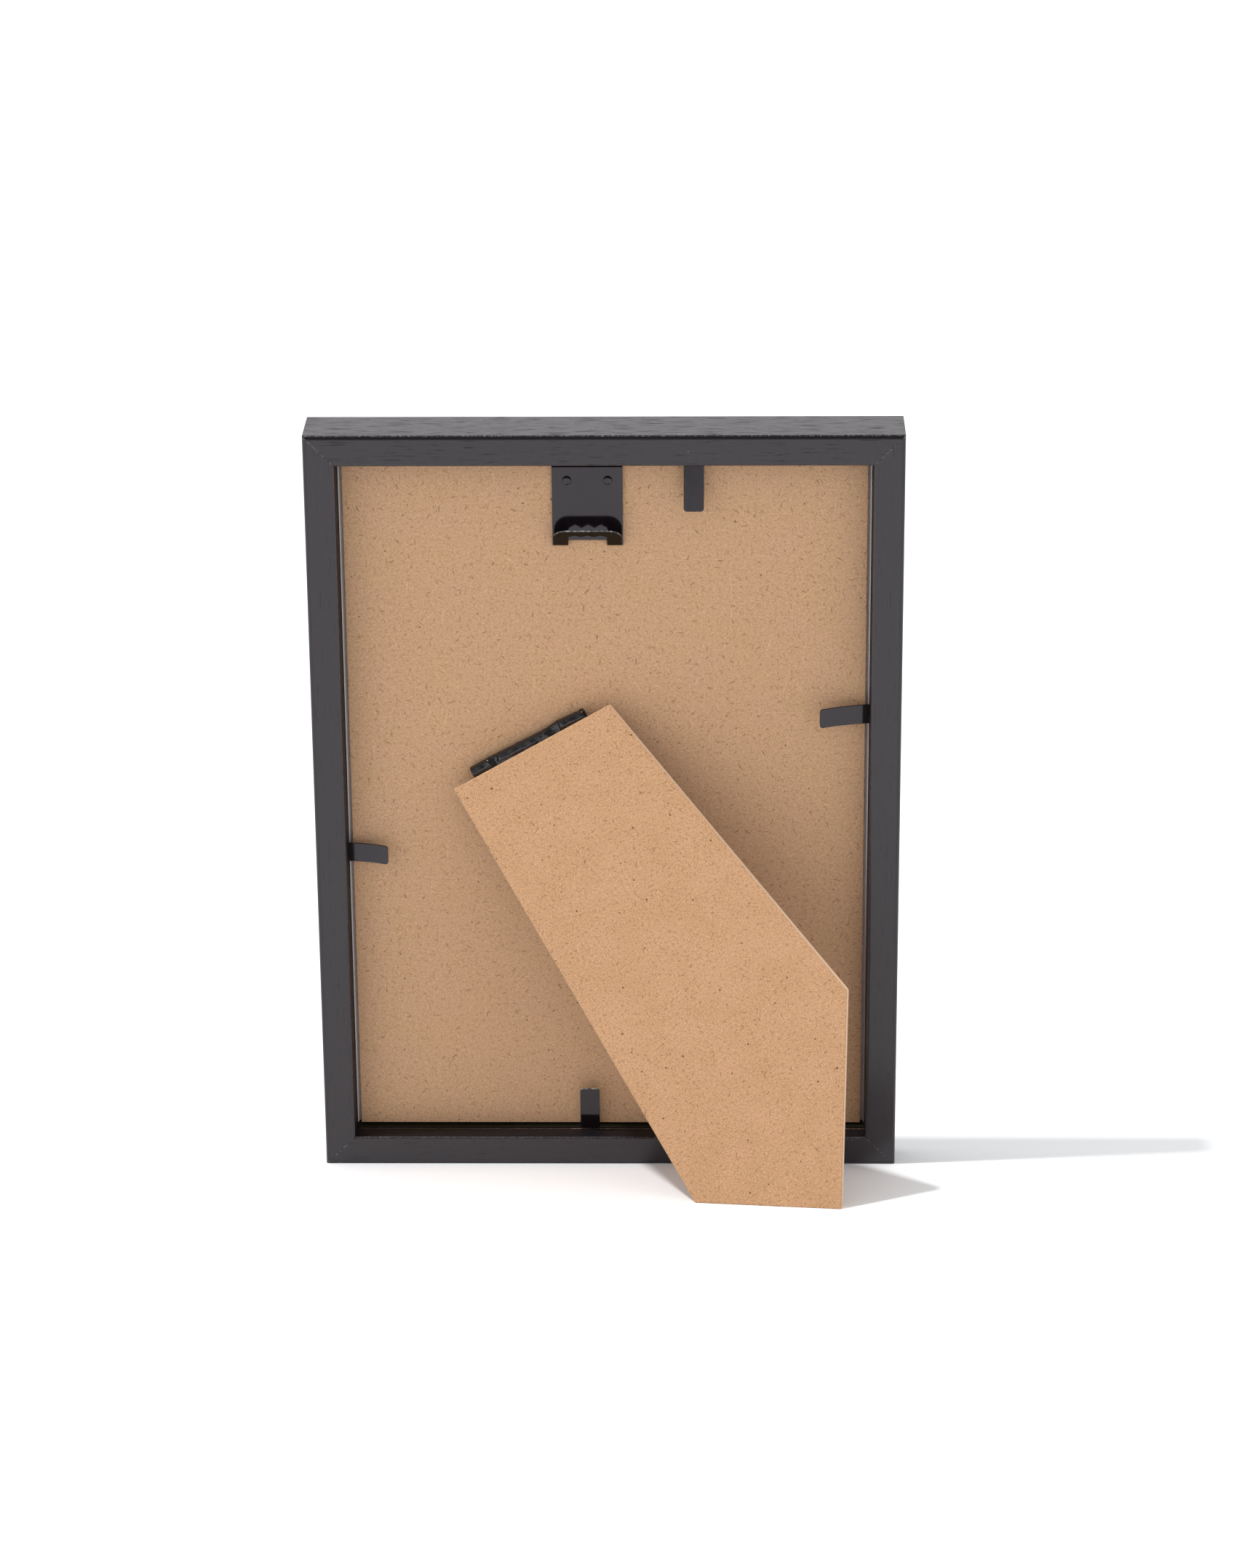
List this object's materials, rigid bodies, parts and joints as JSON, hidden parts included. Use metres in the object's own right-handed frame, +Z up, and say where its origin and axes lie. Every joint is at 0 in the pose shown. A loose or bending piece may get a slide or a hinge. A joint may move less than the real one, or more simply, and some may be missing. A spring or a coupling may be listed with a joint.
{
  "type": "easel back photo frame",
  "caption": "Upright black picture frame with mitred rails, glass, loose backing board held by bent tabs, a toothed nail hanger and a folding easel leg on a slanted hinge.",
  "frame": {"origin": "on the table, under the middle of the whole object's box, with the leg open", "axes": "+Z up, -Y the way the picture faces, +Y behind the frame where the leg stands, +X to the right of someone who looks at the picture"},
  "size_m": [0.1476, 0.0624, 0.1965],
  "materials": {
    "wrapped_moulding": "black wood-grain foil wrapped over MDF, satin",
    "clear_glass": "clear float glass, polished",
    "insert_paper": "plain pale grey paper, matt",
    "mdf_board": "raw thin MDF, matt, with fibres and specks",
    "mdf_leg": "raw MDF, matt, with pale cut edges",
    "black_steel": "black lacquered sheet steel, semi-gloss",
    "pin_steel": "plain drawn steel wire"
  },
  "bodies": {
    "frame": {"rail_top": "wrapped_moulding", "rail_bottom": "wrapped_moulding", "rail_left": "wrapped_moulding", "rail_right": "wrapped_moulding", "glass_pane": "clear_glass", "photo_insert": "insert_paper", "backing_board": "mdf_board", "hanger_plate": "black_steel", "hanger_rivets": "black_steel", "hinge_board_leaf": "black_steel", "hinge_pin": "pin_steel", "tab_tangs": "black_steel"},
    "leg": {"easel_leg": "mdf_leg", "hinge_leg_leaf": "black_steel"},
    "top_tab": {"tab_top": "black_steel"},
    "bottom_tab": {"tab_bottom": "black_steel"},
    "left_tab": {"tab_left": "black_steel"},
    "right_tab": {"tab_right": "black_steel"}
  },
  "joints": [
    {"name": "leg_fold", "type": "hinge", "parent": "frame", "child": "leg", "pos_m": [0.0195, 0.00358, 0.11325], "axis": [-0.866, 0.104, 0.4891], "range_deg": [0, 17.1]},
    {"name": "top_tab_bend", "type": "hinge", "parent": "frame", "child": "top_tab", "pos_m": [-0.022, 0.01933, 0.18637], "axis": [1, 0, 0], "range_deg": [-21.7, 74]},
    {"name": "bottom_tab_bend", "type": "hinge", "parent": "frame", "child": "bottom_tab", "pos_m": [0.0052, -0.01838, 0.00895], "axis": [-1, 0, 0], "range_deg": [-17.9, 78]},
    {"name": "left_tab_bend", "type": "hinge", "parent": "frame", "child": "left_tab", "pos_m": [-0.06569, 0.0055, 0.12133], "axis": [0, 0.2079, 0.9781], "range_deg": [-24.5, 71]},
    {"name": "right_tab_bend", "type": "hinge", "parent": "frame", "child": "right_tab", "pos_m": [0.06569, -0.00227, 0.08475], "axis": [0, -0.2079, -0.9781], "range_deg": [-23.9, 73]}
  ]
}
